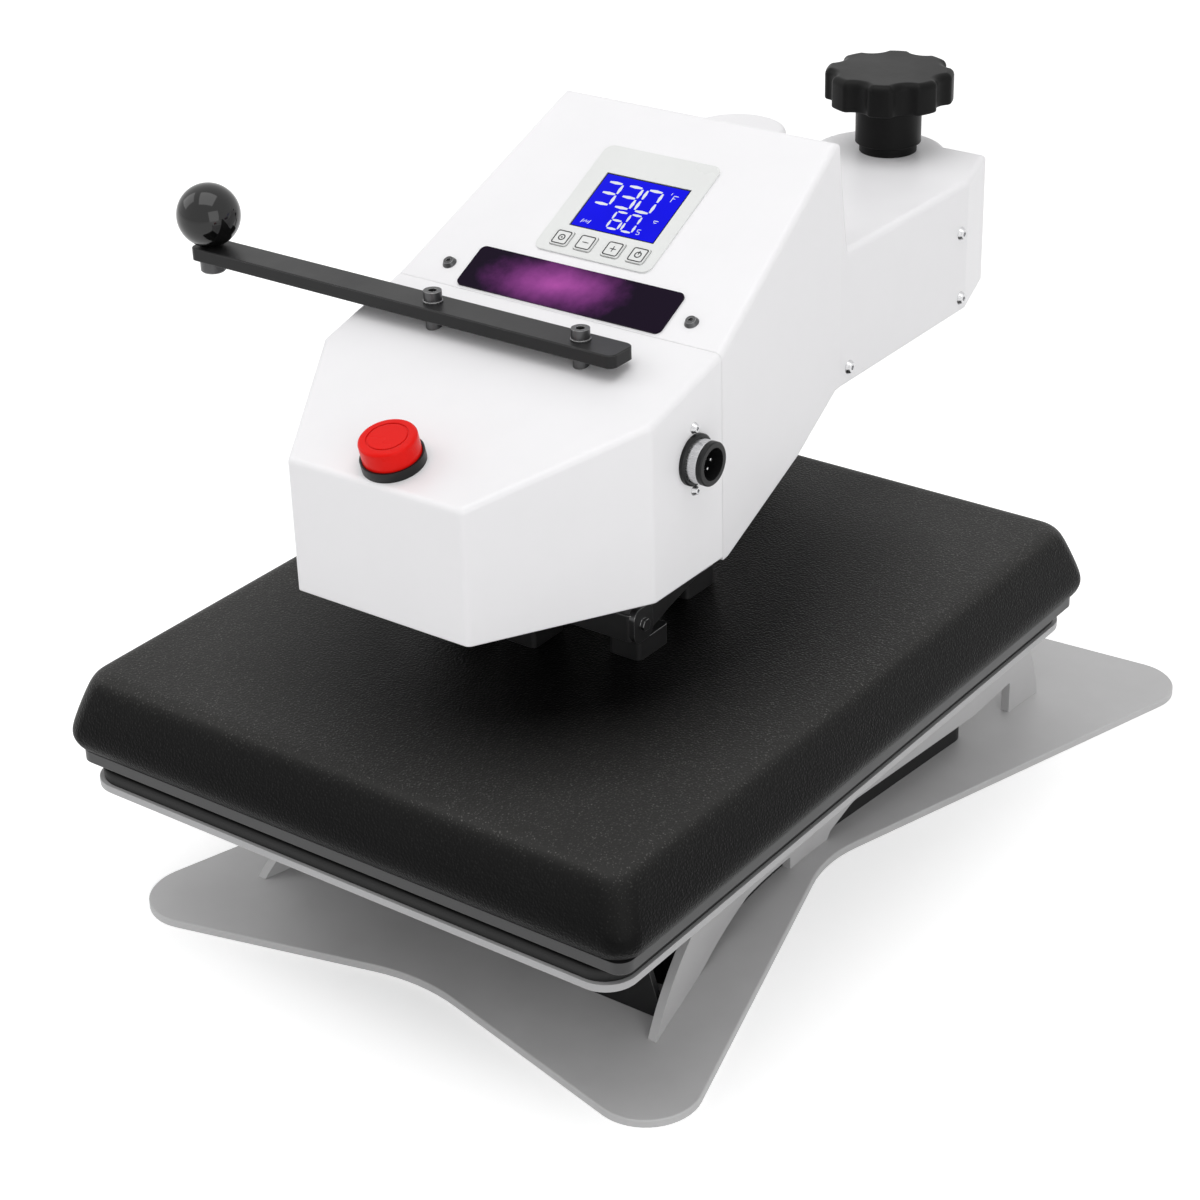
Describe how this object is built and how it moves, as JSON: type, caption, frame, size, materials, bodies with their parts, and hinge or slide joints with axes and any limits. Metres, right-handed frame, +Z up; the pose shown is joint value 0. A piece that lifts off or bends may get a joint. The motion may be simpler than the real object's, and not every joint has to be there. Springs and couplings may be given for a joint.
{
  "type": "swing-away heat press",
  "caption": "Tabletop swing-away heat press: heated platen under a white head that swings on a rear column, over a padded table on a butterfly base.",
  "frame": {"origin": "on the base's underside, straight below the centre of the heated platen", "axes": "+Z up, the operator stands at -Y and looks along +Y, +X to the operator's right"},
  "size_m": [0.4796, 0.662, 0.4596],
  "materials": {
    "grey_powder_coat": "satin powder coat",
    "table_grey": "satin powder coat",
    "white_powder_coat": "satin powder coat",
    "black_textured_coat": "pebbled powder coat",
    "black_satin_steel": "satin",
    "platen_coat": "baked black coat",
    "black_silicone": "matt",
    "steel": "ground",
    "dark_steel": "black oxide",
    "aluminium": "machined",
    "casting": "as cast",
    "bronze": "sintered",
    "element": "heat-stained",
    "insulation": "mineral board",
    "black_plastic": "moulded",
    "black_gloss": "polished phenolic",
    "knob_black": "fine-grained phenolic",
    "red_plastic": "satin moulding",
    "lcd": "backlit display window",
    "membrane": "printed film",
    "strip": "printed film",
    "board": "lacquered laminate"
  },
  "bodies": {
    "stand": {"base_plate": "grey_powder_coat", "side_plate_right": "grey_powder_coat", "side_plate_left": "grey_powder_coat", "pedestal_box": "black_satin_steel", "front_cross_plate": "black_satin_steel", "lower_table": "table_grey", "table_screws": "steel", "silicone_pad": "black_silicone", "swing_column": "grey_powder_coat", "flange_bolts": "dark_steel", "swing_shaft": "steel", "thrust_washer": "bronze", "shaft_collar": "steel"},
    "head": {"air_cylinder": "aluminium", "air_fitting": "steel", "arm_floor": "white_powder_coat", "arm_frame": "white_powder_coat", "arm_shell": "white_powder_coat", "ball_knob": "black_gloss", "ball_stud": "dark_steel", "button_collar": "black_plastic", "button_switch": "black_plastic", "control_board": "board", "frame_bolts": "steel", "guide_block": "aluminium", "guide_bushes": "bronze", "handle_bar": "black_satin_steel", "handle_screws": "dark_steel", "handle_spacers": "dark_steel", "hood_floor": "white_powder_coat", "hood_shell": "white_powder_coat", "knob_collar": "knob_black", "lcd_module": "lcd", "mains_inlet": "black_plastic", "membrane_panel": "membrane", "panel_screws": "dark_steel", "rear_casting": "casting", "side_screws": "steel", "socket_barrel": "steel", "socket_insert": "black_plastic", "socket_nut": "black_plastic", "socket_screws": "steel", "strip_plate": "strip", "swing_bushes": "bronze"},
    "carriage": {"heat_platen": "platen_coat", "heating_element": "element", "insulation_board": "insulation", "platen_cover": "black_textured_coat", "platen_posts": "dark_steel", "platen_yoke": "dark_steel", "guide_rods": "steel", "piston_rod": "steel"},
    "pressure_adjuster": {"pressure_knob": "knob_black", "pressure_screw": "steel"},
    "button": {"button_cap": "red_plastic"},
    "rocker": {"power_rocker": "black_plastic"},
    "key_1": {"key_1": "membrane"},
    "key_2": {"key_2": "membrane"},
    "key_3": {"key_3": "membrane"},
    "key_4": {"key_4": "membrane"}
  },
  "joints": [
    {"name": "head_swing", "type": "hinge", "parent": "stand", "child": "head", "pos_m": [-0.087, 0.29, 0.3], "axis": [0, 0, 1], "range_deg": [-110, 0]},
    {"name": "press_slide", "type": "slide", "parent": "head", "child": "carriage", "axis": [0, 0, 1], "range_m": [-0.0022, 0.01]},
    {"name": "pressure_turn", "type": "hinge", "parent": "head", "child": "pressure_adjuster", "pos_m": [0.023, 0.306, 0.42], "axis": [0, 0, 1], "continuous": true},
    {"name": "button_press", "type": "slide", "parent": "head", "child": "button", "axis": [0, 0.2554, -0.9668], "range_m": [0, 0.003], "stiffness_N_per_m": 700, "springref_m": -0.003},
    {"name": "rocker_tip", "type": "hinge", "parent": "head", "child": "rocker", "pos_m": [-0.095, 0.15333, 0.3655], "axis": [0, 1, 0], "range_deg": [0, 16]},
    {"name": "key_1_press", "type": "slide", "parent": "head", "child": "key_1", "axis": [0, 0.4571, -0.8894], "range_m": [0, 0.0005], "stiffness_N_per_m": 400, "springref_m": -0.0005},
    {"name": "key_2_press", "type": "slide", "parent": "head", "child": "key_2", "axis": [0, 0.4571, -0.8894], "range_m": [0, 0.0005], "stiffness_N_per_m": 400, "springref_m": -0.0005},
    {"name": "key_3_press", "type": "slide", "parent": "head", "child": "key_3", "axis": [0, 0.4571, -0.8894], "range_m": [0, 0.0005], "stiffness_N_per_m": 400, "springref_m": -0.0005},
    {"name": "key_4_press", "type": "slide", "parent": "head", "child": "key_4", "axis": [0, 0.4571, -0.8894], "range_m": [0, 0.0005], "stiffness_N_per_m": 400, "springref_m": -0.0005}
  ]
}
